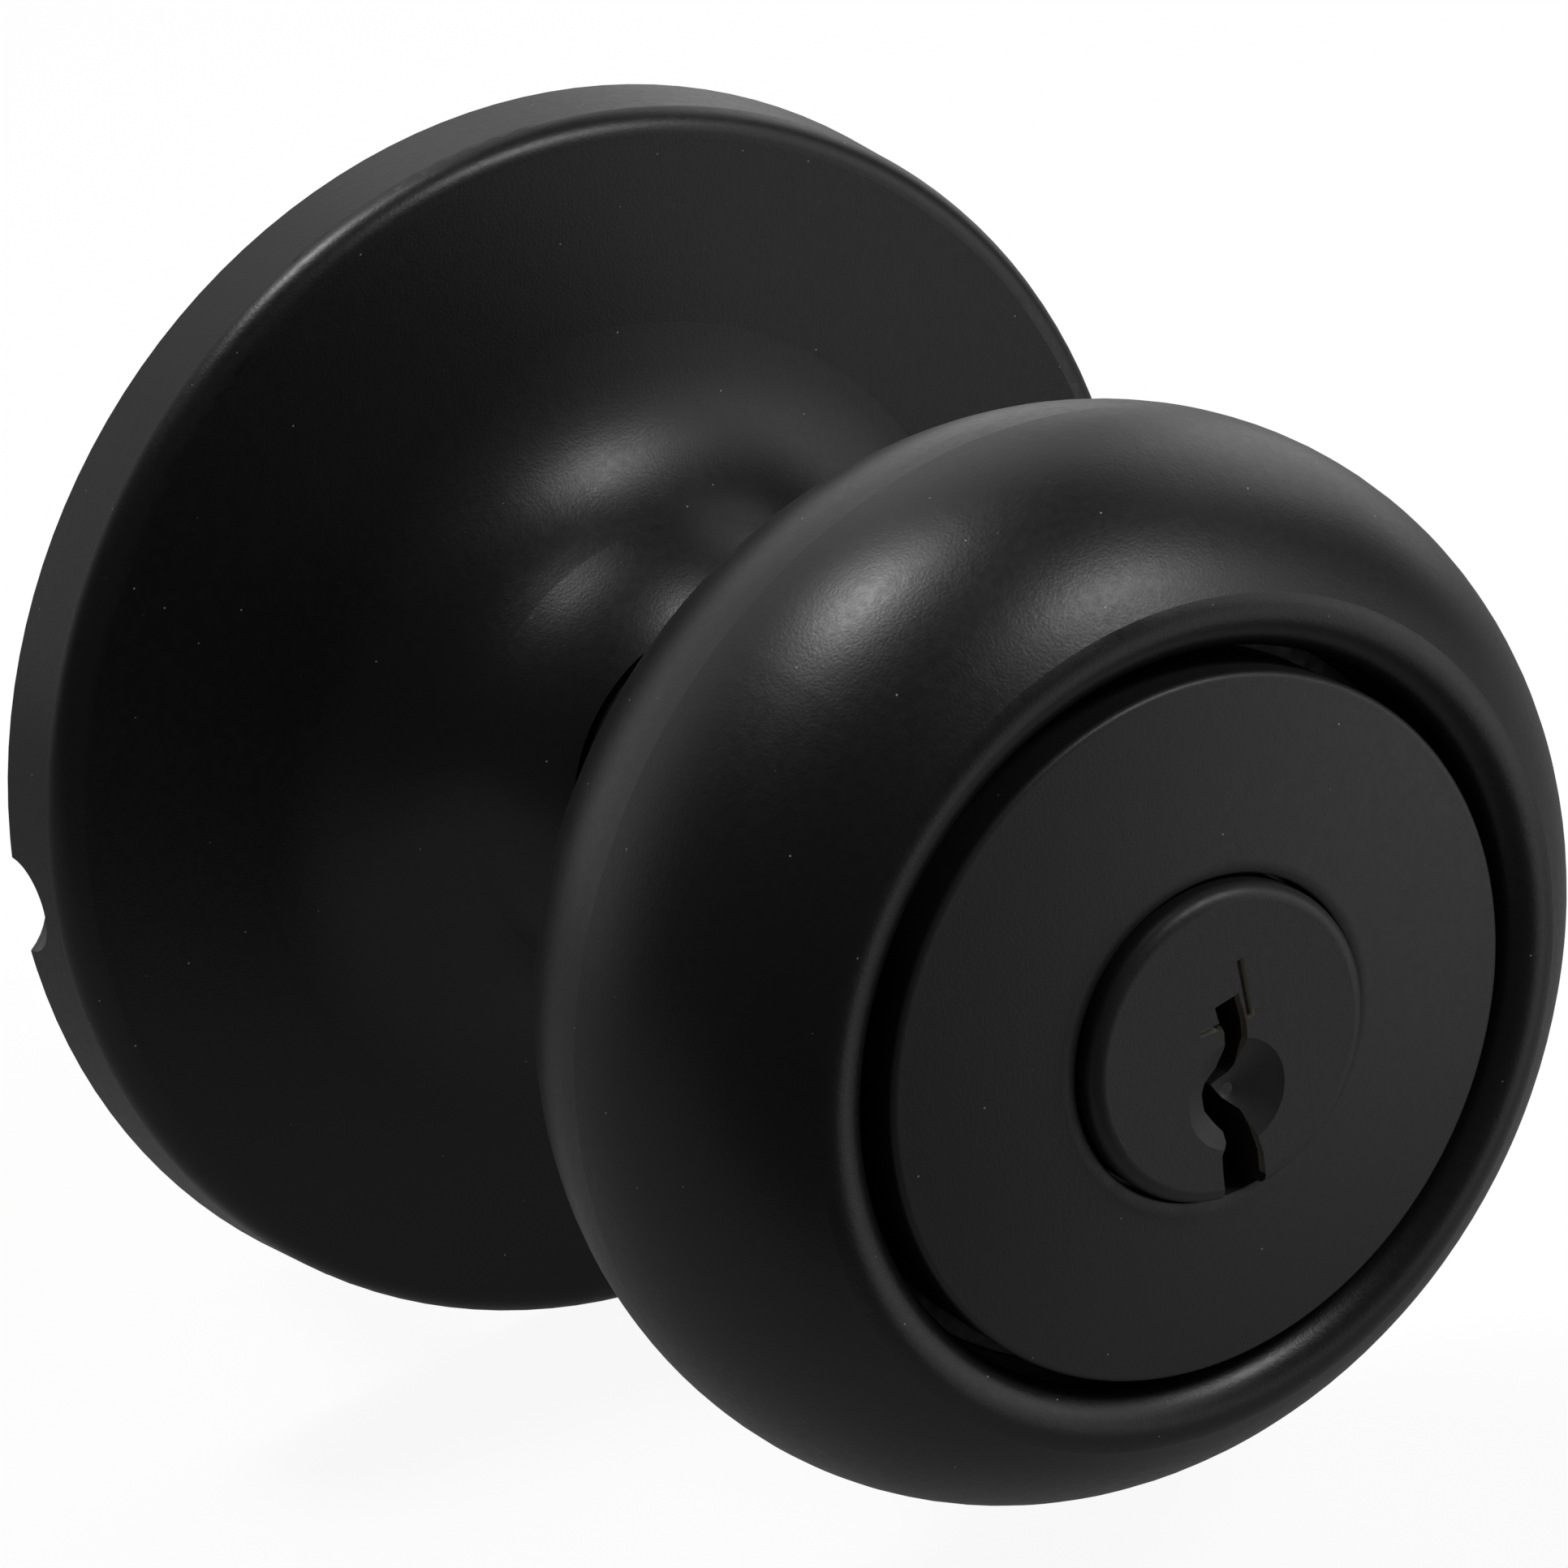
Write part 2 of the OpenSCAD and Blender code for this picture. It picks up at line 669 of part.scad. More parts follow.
// Fixed part of the lock cylinder: barrel and pin tower
module cylinder_housing() {
    color(brass) outward() difference() {
        union() {
            translate([0, 0, housing_back]) cylinder(r = barrel_r, h = housing_front - housing_back);
            intersection() {
                translate([-tower_w / 2, 0, tower_back])
                    cube([tower_w, tower_h, tower_front - tower_back]);
                cylinder(r = tower_h, h = past);
            }
        }
        translate([0, 0, housing_back - 1]) cylinder(r = plug_r + run_fit, h = past);
        for (z = pin_z) upright(chamber_r, 0, tower_h + 1, z);
        translate([-strip_w / 2 - seat_fit, strip_low, tower_back + 0.4 - seat_fit])
            cube([strip_w + 2 * seat_fit, 5, tower_front - tower_back - 0.8 + 2 * seat_fit]);
    }
}

// Pins between the shear line and the springs
module driver_pins() {
    color(brass) outward()
        for (z = pin_z) pin(z, driver_low, driver_low + driver_len, low_tip = 0.25);
}

// Springs that press the pins down
module pin_springs() {
    low = driver_low + driver_len + pin_wire / 2 + 0.02;
    color(steel) outward() for (z = pin_z)
        translate([0, low, z]) rotate([-90, 0, 0])
            coil(pin_r - pin_wire / 2 - 0.1, pin_wire / 2, strip_low - low - pin_wire / 2 - 0.02,
                360 * 3.5, step = 30, sides = 6);
}

// Strip that closes the pin tower
module tower_strip() {
    color(brass) outward() translate([-strip_w / 2, strip_low, tower_back + 0.4])
        cube([strip_w, strip_t, tower_front - tower_back - 0.8]);
}

// Outline of the keyway: a zigzag slot that opens at the foot of the plug
module keyway_outline() {
    polygon([[-0.7, 2.2], [0.65, 2.45], [0.9, 1], [0.9, 0.1], [0.3, -1.2], [0, -1.5],
        [-1.05, -1.7], [-0.35, -2.7], [0.4, -3.5], [0.8, -4.5], [1.1, -5.8], [1.1, -9],
        [-1.2, -9], [-1.2, -5.9], [-1.15, -5.1], [-0.8, -4.6], [-0.8, -4.1], [-1.15, -3.6],
        [-1.65, -2.75], [-1.7, -1.85], [-1.5, -1.4], [-0.8, -0.9], [-0.4, 0], [-0.35, 0.85],
        [-0.6, 1.55]]);
}

// Turning part of the lock cylinder, with the keyway through it
module plug() {
    color(black) outward() difference() {
        union() {
            translate([0, 0, plug_back]) cylinder(r = plug_r, h = plug_front - plug_back - 1);
            rotate_extrude() {
                translate([0, plug_shoulder])
                    square([plug_head_r, plug_front - plug_head_round - plug_shoulder]);
                translate([0, plug_shoulder])
                    square([plug_head_r - plug_head_round, plug_front - plug_shoulder]);
                translate([plug_head_r - plug_head_round, plug_front - plug_head_round])
                    intersection() {
                        circle(r = plug_head_round);
                        square(plug_head_round);
                    }
            }
        }
        translate([0, 0, plug_back - 1]) linear_extrude(plug_len + 2) keyway_outline();
        for (z = pin_z) upright(chamber_r, 0.6, plug_r + 1, z);
        // Dimple that guides the key in
        translate([0, -2.4, plug_front - dimple_depth])
            cylinder(r1 = 0.3, r2 = dimple_d / 2, h = dimple_depth + tiny);
        // Fine grooves beside the top of the keyway
        translate([1.05, 2.55, plug_front]) rotate(5) cube([0.4, 3, 0.7], center = true);
        translate([-1.05, 1.2, plug_front]) cube([1.15, 0.35, 0.7], center = true);
        // Groove for the clip and slot for the tailpiece
        ring(plug_r - clip_depth, plug_r + 1, clip_z - seat_fit, clip_z + clip_t + seat_fit);
        translate([-blade_t / 2 - seat_fit, -head_w / 2 - seat_fit, plug_back - 1])
            cube([blade_t + 2 * seat_fit, head_w + 2 * seat_fit, 1 + slot_depth]);
    }
}

// Pins inside the plug, their tops level with its surface
module key_pins() {
    color(brass) outward()
        for (i = [0 : pin_count - 1]) pin(pin_z[i], key_pin_low[i], key_pin_top, low_tip = 0.8);
}

// Open clip in the plug's groove, behind the housing
module plug_clip() {
    color(steel) outward() difference() {
        ring(plug_r - clip_depth + seat_fit, plug_r + 1.4, clip_z, clip_z + clip_t);
        translate([-clip_mouth / 2, -2 * plug_r, clip_z - 1]) cube([clip_mouth, 2 * plug_r, clip_t + 2]);
    }
}

// Flat blade that carries the plug's turn through the spindle, with a tapered tip
module tailpiece() {
    head = head_w / 2;
    half = blade_w / 2;
    tip = blade_w;
    color(steel) outward() translate([-blade_t / 2, 0, 0]) rotate([90, 0, 90]) linear_extrude(blade_t)
        polygon([[-head, plug_back - 0.6], [-head, plug_back + slot_depth - seat_fit],
            [head, plug_back + slot_depth - seat_fit], [head, plug_back - 0.6], [half, plug_back - 0.6],
            [half, tip - blade_tail], [half / 2, -blade_tail], [-half / 2, -blade_tail],
            [-half, tip - blade_tail], [-half, plug_back - 0.6]]);
}

rose_cover();
mounting_plate();
left_screw_post();
right_screw_post();
bearing_bush();
spring_cage();
cage_screws();
return_spring();
knob_shell();
knob_insert();
face_plate();
shank();
drive_plate();
drive_spindle();
spindle_pins();
thrust_washer();
snap_ring();
cylinder_housing();
driver_pins();
pin_springs();
tower_strip();
plug();
key_pins();
plug_clip();
tailpiece();
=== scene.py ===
import json
import math

import bmesh
import bpy
from mathutils import Matrix, Vector


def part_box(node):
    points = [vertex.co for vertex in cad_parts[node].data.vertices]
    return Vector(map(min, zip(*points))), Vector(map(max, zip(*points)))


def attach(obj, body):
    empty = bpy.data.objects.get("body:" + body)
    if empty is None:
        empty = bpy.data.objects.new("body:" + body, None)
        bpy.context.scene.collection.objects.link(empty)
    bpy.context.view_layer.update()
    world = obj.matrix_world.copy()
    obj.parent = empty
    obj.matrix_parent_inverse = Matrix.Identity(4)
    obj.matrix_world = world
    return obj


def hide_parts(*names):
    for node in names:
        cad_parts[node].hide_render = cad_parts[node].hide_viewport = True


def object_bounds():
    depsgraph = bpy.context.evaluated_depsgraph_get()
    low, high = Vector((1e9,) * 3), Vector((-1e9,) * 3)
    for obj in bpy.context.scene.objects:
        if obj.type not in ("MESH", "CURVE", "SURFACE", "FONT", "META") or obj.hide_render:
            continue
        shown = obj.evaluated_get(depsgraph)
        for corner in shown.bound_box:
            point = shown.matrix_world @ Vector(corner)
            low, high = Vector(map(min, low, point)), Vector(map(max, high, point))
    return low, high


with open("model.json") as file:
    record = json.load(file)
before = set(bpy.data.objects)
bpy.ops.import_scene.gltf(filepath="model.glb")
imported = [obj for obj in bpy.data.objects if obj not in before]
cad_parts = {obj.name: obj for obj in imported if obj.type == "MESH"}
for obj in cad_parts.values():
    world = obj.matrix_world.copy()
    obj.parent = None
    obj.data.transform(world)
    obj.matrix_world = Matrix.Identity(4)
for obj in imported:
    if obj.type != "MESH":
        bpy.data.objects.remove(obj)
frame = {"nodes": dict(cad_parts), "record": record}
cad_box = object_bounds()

MM = 0.001

# Camera, fitted to edges in the photo: where it stands, and its right and up directions
CAMERA_PLACE = Vector((-121.94, -239.64, 109.56)) * MM
CAMERA_RIGHT = Vector((0.8387, -0.5296, -0.1266))
CAMERA_UP = Vector((0.3112, 0.2753, 0.9096))
CAMERA_LENS = 124.5
CAMERA_SENSOR = 36
CAMERA_CLIP = 0.01

# Lamps, fitted to tones in the photo and then changed: the point that they aim at, and
# how far from it they stand
LAMP_AIM = Vector((0, -0.03, 0))
LAMP_DISTANCE = 0.9
# Each one's name, direction from that point (of any length), width across, and watts
LAMPS = [
    ("overhead_left", (-0.22, 0.19, 1.07), 0.15, 2.46),
    ("overhead_left_back", (-0.20, 0.41, 1.00), 0.2, 0.39),
    ("overhead", (0.0, 0.19, 1.10), 0.2, 0.56),
    ("high_front", (0.40, -0.60, 0.77), 0.2, 1.79),
    ("high_front_right", (0.58, -0.58, 0.64), 0.2, 0.50),
    ("front_right", (0.75, -0.60, 0.28), 0.5, 0.67),
    ("front_low_right", (0.62, -0.75, -0.30), 0.5, 0.56),
    ("back_high", (0.35, 0.65, 0.75), 0.5, 0.34),
    ("back", (0.38, 0.92, 0.04), 0.6, 0.50),
    ("right_back", (0.86, 0.45, 0.22), 0.5, 0.50),
    ("right", (0.80, 0.30, 0.56), 0.45, 0.56),
    ("right_low", (0.88, -0.45, -0.08), 0.5, 0.56),
]

# World: its strength in reflections behind the object and in front of it, the headings along Y
# between which it rises, and its strength as plain fill
WORLD_BEHIND = 0.72
WORLD_AHEAD = 0.07
WORLD_RISE = (0.3, 0.95)
WORLD_FILL = 0.03

# Colours
FINISH_DARK = (0.0038, 0.0037, 0.0041)
FINISH_PALE = (0.0050, 0.0048, 0.0052)
FACE_DARK = (0.0145, 0.0140, 0.0150)
FACE_PALE = (0.0175, 0.0170, 0.0180)
ZINC_PLATED = (0.62, 0.64, 0.66)
STEEL_BRIGHT = (0.56, 0.57, 0.58)
STEEL_SPRING = (0.42, 0.42, 0.43)
ZINC_CAST = (0.5, 0.51, 0.52)
LOCK_BRASS = (0.75, 0.55, 0.28)
NYLON = (0.8, 0.79, 0.74)
DUST = (0.3, 0.3, 0.3)
# Painted shade: near black, for parts seen only through gaps
GAP_PAINTED_SHADE = (0.002, 0.002, 0.002)

# Roughness: lowest and highest of paints and nylon, and the middle of metals
SATIN_GLOSS = (0.335, 0.39)
FACE_GLOSS = (0.4, 0.48)
NYLON_GLOSS = (0.4, 0.55)
PLATED_ROUGH = 0.3
BRIGHT_ROUGH = 0.28
SPRING_ROUGH = 0.32
CAST_ROUGH = 0.5
BRASS_ROUGH = 0.3
METAL_SPREAD = 0.08

# The part of a noise's range that steers roughness in paint and metal
NOISE_SPAN = (0.3, 0.7)

# Paint: cells per metre of its clouds, gloss, orange peel, grain and dust, the share of cells
# that hold a speck, and the share of a speck's radius that is solid
CLOUD_CELLS = 90
GLOSS_CELLS = 2400
PEEL_CELLS = 1700
PEEL_STRENGTH = 0.16
PEEL_HEIGHT = 0.02 * MM
GRAIN_CELLS = 6500
GRAIN_STRENGTH = 0.9
GRAIN_HEIGHT = 0.01 * MM
DUST_CELLS = 800
DUST_RADIUS = 0.06 * MM
DUST_CORE = 0.6
SATIN_DUST = 0.5
FACE_DUST = 0.3

# Metal and nylon: cells per metre, and how much darker their patches are
METAL_GRAIN_CELLS = 1500
METAL_GRAIN_STRENGTH = 0.1
METAL_GRAIN_HEIGHT = 0.02 * MM
METAL_PATCH_CELLS = 150
METAL_PATCH_SHADE = 0.78
NYLON_CLOUD_CELLS = 300
NYLON_GLOSS_CELLS = 900
NYLON_CLOUD_SHADE = 0.85

# In front of these the core and the lock's housing are painted black, as shade in the gaps
# that show them, and this far behind them bare
INSERT_SHADE_PLANE = -49.0 * MM
HOUSING_SHADE_PLANE = -53.5 * MM
GAP_SHADE_FADE = 1.0 * MM

# Keyway: how far from the axis its walls lie, and how far their normals lean along it
KEYWAY_REACH = 7.0 * MM
WALL_LEAN = 0.3
# Bare metal from wear, made bright as a painted glint on the keyway's edges, from the plug's
# front to this depth, and gone by this multiple of it
WEAR_GLINT_DEPTH = 0.32 * MM
WEAR_GLINT_FADE = 1.6
WEAR_GLINT_METAL = (0.8, 0.77, 0.66)
# Depths between which the paint gives way to brass, darkened as painted shade deep in the keyway
BARE_FROM = 3.0 * MM
BARE_FULL = 3.5 * MM
BRASS_PAINTED_SHADE = (0.06, 0.048, 0.03)

# Face plate: how far its crown falls to the edge and lifts its middle, its edge's rounding, its
# rim's wall, the depth of its back, the gap round the plug, and how finely it is turned
PLATE_CROWN = 1.3 * MM
PLATE_LIFT = 0.3 * MM
PLATE_ROUND = 0.35 * MM
PLATE_WALL = 1.2 * MM
PLATE_BACK = 2.0 * MM
PLUG_GAP = 0.2 * MM
PLATE_STEPS = 192
CROWN_STEPS = 12
ROUND_STEPS = 6
SHARP_ANGLE = math.radians(40)
# The hole's rounded mouth: steps outward and down from its sharp edge
HOLE_MOUTH = [(0, 0.15 * MM), (0.04 * MM, 0.05 * MM), (0.14 * MM, 0)]

# Floor: how far under the object, its edges, its glow to the camera and to all other rays, and
# the share of it that takes the lamps' light and so the shadow
FLOOR_DROP = 0.4 * MM
FLOOR_FRONT = -0.085
FLOOR_BACK = 1.2
FLOOR_HALF = 1.0
FLOOR_WHITE = 1.05
FLOOR_DIM = 0.2
SHADOW_SHARE = 0.12
SHADOW_GREY = (0.9, 0.9, 0.9, 1)


def new_material(name):
    """An empty node material with its Principled shader, linked to the output."""
    material = bpy.data.materials.new(name)
    material.use_nodes = True
    tree = material.node_tree
    tree.nodes.clear()
    output = tree.nodes.new("ShaderNodeOutputMaterial")
    shader = tree.nodes.new("ShaderNodeBsdfPrincipled")
    tree.links.new(shader.outputs["BSDF"], output.inputs["Surface"])
    return material, tree, shader


def feed(tree, socket, value):
    """Sets a socket to a number, or links it to another socket."""
    if isinstance(value, (int, float)):
        socket.default_value = value
    else:
        tree.links.new(value, socket)


def object_coordinates(tree):
    return tree.nodes.new("ShaderNodeTexCoord").outputs["Object"]


def noise(tree, coords, scale, detail=2.0):
    """A noise texture of that many cells per metre."""
    node = tree.nodes.new("ShaderNodeTexNoise")
    node.inputs["Scale"].default_value = scale
    node.inputs["Detail"].default_value = detail
    tree.links.new(coords, node.inputs["Vector"])
    return node.outputs["Fac"]


def ramp(tree, value, low, high, from_low=0.0, from_high=1.0):
    """value mapped from from_low..from_high to low..high, clamped."""
    node = tree.nodes.new("ShaderNodeMapRange")
    node.inputs["From Min"].default_value = from_low
    node.inputs["From Max"].default_value = from_high
    node.inputs["To Min"].default_value = low
    node.inputs["To Max"].default_value = high
    tree.links.new(value, node.inputs["Value"])
    return node.outputs["Result"]


def maths(tree, operation, first, second=0):
    """A sum, product or other step; each term is a socket or a number."""
    node = tree.nodes.new("ShaderNodeMath")
    node.operation = operation
    for socket, term in zip(node.inputs, (first, second)):
        feed(tree, socket, term)
    return node.outputs["Value"]


def mix_colour(tree, factor, first, second):
    """A blend of two colours by factor; each is a colour or a socket."""
    node = tree.nodes.new("ShaderNodeMix")
    node.data_type = "RGBA"
    for name, colour in (("A", first), ("B", second)):
        if isinstance(colour, tuple):
            node.inputs[name].default_value = (*colour, 1)
        else:
            tree.links.new(colour, node.inputs[name])
    tree.links.new(factor, node.inputs["Factor"])
    return node.outputs["Result"]


def bump(tree, height, strength, distance, under=None):
    """A bump, laid over another one if it is given."""
    node = tree.nodes.new("ShaderNodeBump")
    node.inputs["Strength"].default_value = strength
    node.inputs["Distance"].default_value = distance
    tree.links.new(height, node.inputs["Height"])
    if under:
        tree.links.new(under, node.inputs["Normal"])
    return node.outputs["Normal"]


def specks(tree, coords, cells, radius, share):
    """Tiny round dots, one to each chosen cell of that many cells per metre."""
    node = tree.nodes.new("ShaderNodeTexVoronoi")
    node.inputs["Scale"].default_value = cells
    tree.links.new(coords, node.inputs["Vector"])
    split = tree.nodes.new("ShaderNodeSeparateColor")
    tree.links.new(node.outputs["Color"], split.inputs["Color"])
    edge = radius * cells
    dot = ramp(tree, node.outputs["Distance"], 1, 0, DUST_CORE * edge, edge)
    chosen = maths(tree, "LESS_THAN", split.outputs["Red"], share)
    return maths(tree, "MULTIPLY", dot, chosen)


def axis(tree, coords, name):
    """One coordinate of a point."""
    node = tree.nodes.new("ShaderNodeSeparateXYZ")
    tree.links.new(coords, node.inputs["Vector"])
    return node.outputs[name]


def black_paint(name, dark, pale, gloss_range, dust):
    """Black paint: soft clouds of colour, orange peel, grain, uneven gloss and a little dust."""
    material, tree, shader = new_material(name)
    coords = object_coordinates(tree)
    paint = mix_colour(tree, noise(tree, coords, CLOUD_CELLS, 3), dark, pale)
    dots = specks(tree, coords, DUST_CELLS, DUST_RADIUS, dust)
    tree.links.new(mix_colour(tree, dots, paint, DUST), shader.inputs["Base Color"])
    gloss = ramp(tree, noise(tree, coords, GLOSS_CELLS, 4), *gloss_range, *NOISE_SPAN)
    tree.links.new(gloss, shader.inputs["Roughness"])
    peel = bump(tree, noise(tree, coords, PEEL_CELLS), PEEL_STRENGTH, PEEL_HEIGHT)
    grain = bump(tree, noise(tree, coords, GRAIN_CELLS), GRAIN_STRENGTH, GRAIN_HEIGHT, peel)
    tree.links.new(grain, shader.inputs["Normal"])
    return material, tree, shader, coords


def metal(name, colour, roughness):
    """Bare metal with fine grain and slightly darker patches."""
    material, tree, shader = new_material(name)
    coords = object_coordinates(tree)
    fine = noise(tree, coords, METAL_GRAIN_CELLS, 3)
    shader.inputs["Metallic"].default_value = 1.0
    darker = tuple(METAL_PATCH_SHADE * c for c in colour)
    tree.links.new(
        mix_colour(tree, noise(tree, coords, METAL_PATCH_CELLS, 3), darker, colour),
        shader.inputs["Base Color"],
    )
    tree.links.new(
        ramp(tree, fine, roughness - METAL_SPREAD, roughness + METAL_SPREAD, *NOISE_SPAN),
        shader.inputs["Roughness"],
    )
    grain = bump(tree, fine, METAL_GRAIN_STRENGTH, METAL_GRAIN_HEIGHT)
    tree.links.new(grain, shader.inputs["Normal"])
    return material, tree, shader, coords


def nylon(name, colour):
    """Natural nylon: slightly cloudy and soft in gloss."""
    material, tree, shader = new_material(name)
    coords = object_coordinates(tree)
    darker = tuple(NYLON_CLOUD_SHADE * c for c in colour)
    tree.links.new(
        mix_colour(tree, noise(tree, coords, NYLON_CLOUD_CELLS, 3), darker, colour),
        shader.inputs["Base Color"],
    )
    gloss = ramp(tree, noise(tree, coords, NYLON_GLOSS_CELLS), *NYLON_GLOSS)
    tree.links.new(gloss, shader.inputs["Roughness"])
    return material


def paint_gap_shade(parts, front):
    """Paints a material near-black in front of y = front, as painted shade where only a gap
    shows it.
    """
    material, tree, shader, coords = parts
    dark = ramp(tree, axis(tree, coords, "Y"), 1, 0, front, front + GAP_SHADE_FADE)
    old = shader.inputs["Base Color"].links[0].from_socket
    tree.links.new(mix_colour(tree, dark, old, GAP_PAINTED_SHADE), shader.inputs["Base Color"])
    tree.links.new(maths(tree, "SUBTRACT", 1.0, dark), shader.inputs["Metallic"])
    return material


def keyway_walls(tree, coords):
    """1 on walls along the Y axis near the plug's middle, 0 elsewhere."""
    facing = tree.nodes.new("ShaderNodeTexCoord").outputs["Normal"]
    along = maths(tree, "ABSOLUTE", axis(tree, facing, "Y"))
    sideways = maths(tree, "LESS_THAN", along, WALL_LEAN)
    across, up = (axis(tree, coords, name) for name in "XZ")
    squares = [maths(tree, "POWER", term, 2) for term in (across, up)]
    inside = maths(tree, "LESS_THAN", maths(tree, "ADD", *squares), KEYWAY_REACH ** 2)
    return maths(tree, "MULTIPLY", sideways, inside)


def plug_paint():
    """The face's black paint over brass: a painted glint of bright bare metal from wear at the
    keyway's mouth, and painted shade deep inside.
    """
    material, tree, shader, coords = black_paint(
        "plug_black", FACE_DARK, FACE_PALE, FACE_GLOSS, FACE_DUST
    )
    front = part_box("plug")[0][1]
    depth = axis(tree, coords, "Y")
    bare = ramp(tree, depth, 0, 1, front + BARE_FROM, front + BARE_FULL)
    # Painted glint: bright bare metal from wear on the keyway's walls near the front
    wear_glint = maths(tree, "MULTIPLY", keyway_walls(tree, coords), ramp(
        tree, depth, 1, 0, front + WEAR_GLINT_DEPTH, front + WEAR_GLINT_FADE * WEAR_GLINT_DEPTH
    ))
    old = shader.inputs["Base Color"].links[0].from_socket
    # Deep in the keyway, brass darkened as painted shade
    inside = mix_colour(tree, bare, old, BRASS_PAINTED_SHADE)
    tree.links.new(mix_colour(tree, wear_glint, inside, WEAR_GLINT_METAL), shader.inputs["Base Color"])
    tree.links.new(maths(tree, "MAXIMUM", bare, wear_glint), shader.inputs["Metallic"])
    return material


def make_materials():
    """The finish for each material slot of the record."""
    return {
        "black_finish": black_paint(
            "satin_black", FINISH_DARK, FINISH_PALE, SATIN_GLOSS, SATIN_DUST
        )[0],
        "black_face": black_paint(
            "face_black", FACE_DARK, FACE_PALE, FACE_GLOSS, FACE_DUST
        )[0],
        "zinc_plate": metal("zinc_plated", ZINC_PLATED, PLATED_ROUGH)[0],
        "bright_steel": metal("steel_bright", STEEL_BRIGHT, BRIGHT_ROUGH)[0],
        "spring_steel": metal("steel_spring", STEEL_SPRING, SPRING_ROUGH)[0],
        "cast_zinc": metal("zinc_cast", ZINC_CAST, CAST_ROUGH)[0],
        "lock_brass": metal("brass_lock", LOCK_BRASS, BRASS_ROUGH)[0],
        "bush_nylon": nylon("nylon_bush", NYLON),
    }


def dress_nodes(materials):
    """Each CAD node gets the finish that the record names for it."""
    special = {
        "plug": plug_paint(),
        # The core and the housing get painted shade where gaps show them
        "knob_insert": paint_gap_shade(
            metal("zinc_cast_gap_shade", ZINC_CAST, CAST_ROUGH), INSERT_SHADE_PLANE
        ),
        "cylinder_housing": paint_gap_shade(
            metal("brass_gap_shade", LOCK_BRASS, BRASS_ROUGH), HOUSING_SHADE_PLANE
        ),
    }
    for part in frame["record"]["subparts"]:
        name = part["node"]
        mesh = frame["nodes"][name].data
        mesh.materials.clear()
        mesh.materials.append(special.get(name, materials[part["material_slot"]]))


def lathe(name, profile, steps):
    """A closed ring turned round the Y axis from (radius, height) points."""
    shape = bmesh.new()
    rings = []
    for i in range(steps):
        turn = 2 * math.pi * i / steps
        rings.append(
            [shape.verts.new((r * math.cos(turn), -h, r * math.sin(turn))) for r, h in profile]
        )
    count = len(profile)
    for i in range(steps):
        here, there = rings[i], rings[(i + 1) % steps]
        for k in range(count):
            n = (k + 1) % count
            shape.faces.new((here[k], here[n], there[n], there[k]))
    bmesh.ops.recalc_face_normals(shape, faces=shape.faces[:])
    mesh = bpy.data.meshes.new(name)
    shape.to_mesh(mesh)
    shape.free()
    mesh.shade_smooth()
    mesh.set_sharp_from_angle(angle=SHARP_ANGLE)
    piece = bpy.data.objects.new(name, mesh)
    bpy.context.scene.collection.objects.link(piece)
    return piece


def turn_face_plate(material):
    """The face plate with its fine crown and a crisp rounded edge."""
    low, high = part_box("face_plate")
    front, back, radius = -low[1], -high[1], high[0]
    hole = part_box("plug")[1][0] + PLUG_GAP
    edge = radius - PLATE_ROUND

    def crown(r):
        return front + PLATE_LIFT - PLATE_CROWN * (r / radius) ** 2

    profile = [(hole, front - PLATE_BACK)]
    profile += [(hole + out, crown(hole) - down) for out, down in HOLE_MOUTH]
    for i in range(1, CROWN_STEPS + 1):
        r = hole + (edge - hole) * i / CROWN_STEPS
        profile.append((r, crown(r)))
    for i in range(1, ROUND_STEPS + 1):
        turn = math.radians(90 - 90 * i / ROUND_STEPS)
        profile.append((
            edge + PLATE_ROUND * math.cos(turn),
            crown(edge) - PLATE_ROUND + PLATE_ROUND * math.sin(turn),
        ))
    inner = radius - PLATE_WALL
    profile += [(radius, back), (inner, back), (inner, front - PLATE_BACK)]
    plate = lathe("face_plate_turned", profile, PLATE_STEPS)
    plate.data.materials.append(material)
    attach(plate, "knob")
    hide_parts("face_plate")


def place_camera():
    """The camera, turned by its right and up directions."""
    data = bpy.data.cameras.new("camera")
    data.lens = CAMERA_LENS
    data.sensor_width = CAMERA_SENSOR
    data.clip_start = CAMERA_CLIP
    camera = bpy.data.objects.new("camera", data)
    bpy.context.scene.collection.objects.link(camera)
    right = CAMERA_RIGHT.normalized()
    back = right.cross(CAMERA_UP).normalized()
    up = back.cross(right)
    turn = Matrix((right, up, back)).transposed().to_4x4()
    camera.matrix_world = Matrix.Translation(CAMERA_PLACE) @ turn
    bpy.context.scene.camera = camera


def place_lamps():
    """Square area lamps, each facing the point that they aim at."""
    for name, direction, width, watts in LAMPS:
        data = bpy.data.lights.new(name, "AREA")
        data.shape = "SQUARE"
        data.size = width
        data.energy = watts
        lamp = bpy.data.objects.new(name, data)
        bpy.context.scene.collection.objects.link(lamp)
        towards = Vector(direction).normalized()
        lamp.location = LAMP_AIM + towards * LAMP_DISTANCE
        lamp.rotation_mode = "QUATERNION"
        lamp.rotation_quaternion = towards.to_track_quat("Z", "Y")


def glow(tree, strength):
    """A white background of that strength, a number or a socket."""
    node = tree.nodes.new("ShaderNodeBackground")
    node.inputs["Color"].default_value = (1, 1, 1, 1)
    feed(tree, node.inputs["Strength"], strength)
    return node.outputs["Background"]


def choose(tree, factor, first, second):
    """The first shader where factor is 0, the second where it is 1."""
    node = tree.nodes.new("ShaderNodeMixShader")
    feed(tree, node.inputs["Fac"], factor)
    tree.links.new(first, node.inputs[1])
    tree.links.new(second, node.inputs[2])
    return node.outputs["Shader"]


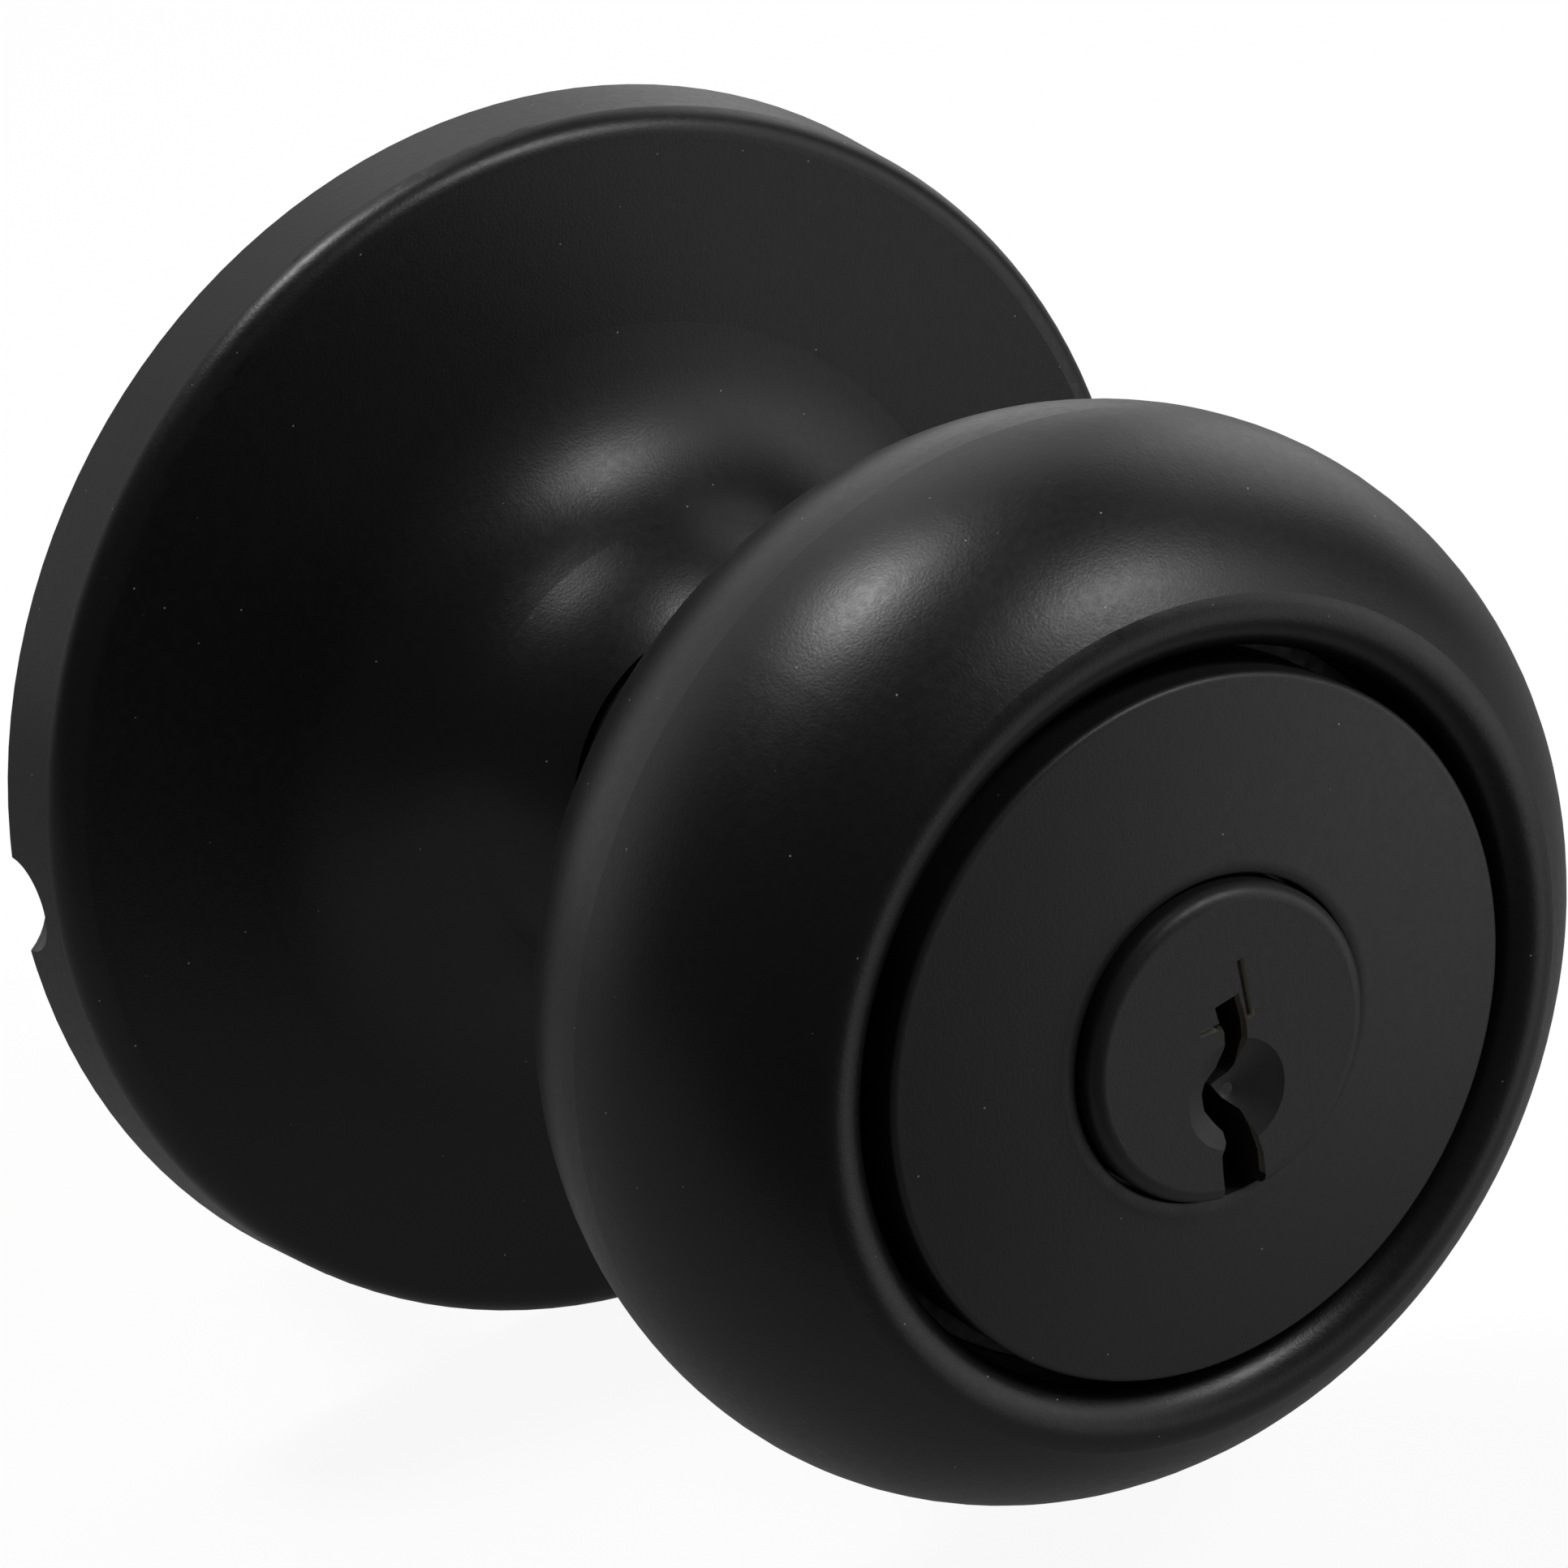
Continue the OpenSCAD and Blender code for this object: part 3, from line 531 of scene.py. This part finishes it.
def light_world():
    """Pure white to the camera; reflections see it dimmer, and brighter behind than ahead."""
    world = bpy.data.worlds.new("studio")
    bpy.context.scene.world = world
    world.use_nodes = True
    tree = world.node_tree
    tree.nodes.clear()
    output = tree.nodes.new("ShaderNodeOutputWorld")
    path = tree.nodes.new("ShaderNodeLightPath")
    heading = tree.nodes.new("ShaderNodeTexCoord").outputs["Generated"]
    backdrop = glow(
        tree, ramp(tree, axis(tree, heading, "Y"), WORLD_AHEAD, WORLD_BEHIND, *WORLD_RISE)
    )
    mirrored = maths(
        tree, "MAXIMUM", path.outputs["Is Glossy Ray"], path.outputs["Is Transmission Ray"]
    )
    seen = choose(tree, mirrored, glow(tree, WORLD_FILL), backdrop)
    shown = choose(tree, path.outputs["Is Camera Ray"], seen, glow(tree, 1.0))
    tree.links.new(shown, output.inputs["Surface"])


def lay_floor():
    """A floor that is white to the camera, dim to all other rays, and keeps a faint shadow."""
    low = cad_box[0][2] - FLOOR_DROP
    mesh = bpy.data.meshes.new("floor")
    shape = bmesh.new()
    corners = [
        (-FLOOR_HALF, FLOOR_FRONT), (FLOOR_HALF, FLOOR_FRONT),
        (FLOOR_HALF, FLOOR_BACK), (-FLOOR_HALF, FLOOR_BACK),
    ]
    shape.faces.new([shape.verts.new((x, y, low)) for x, y in corners])
    shape.to_mesh(mesh)
    shape.free()
    floor = bpy.data.objects.new("floor", mesh)
    bpy.context.scene.collection.objects.link(floor)
    material, tree, shader = new_material("floor_white")
    tree.nodes.remove(shader)
    white = tree.nodes.new("ShaderNodeEmission")
    path = tree.nodes.new("ShaderNodeLightPath")
    shown = ramp(tree, path.outputs["Is Camera Ray"], FLOOR_DIM, FLOOR_WHITE)
    tree.links.new(shown, white.inputs["Strength"])
    lit = tree.nodes.new("ShaderNodeBsdfDiffuse")
    lit.inputs["Color"].default_value = SHADOW_GREY
    both = choose(tree, SHADOW_SHARE, white.outputs["Emission"], lit.outputs["BSDF"])
    output = next(n for n in tree.nodes if n.type == "OUTPUT_MATERIAL")
    tree.links.new(both, output.inputs["Surface"])
    mesh.materials.append(material)


def main():
    materials = make_materials()
    dress_nodes(materials)
    turn_face_plate(materials["black_face"])
    place_camera()
    place_lamps()
    light_world()
    lay_floor()
    bpy.context.scene.view_settings.view_transform = "Standard"


main()
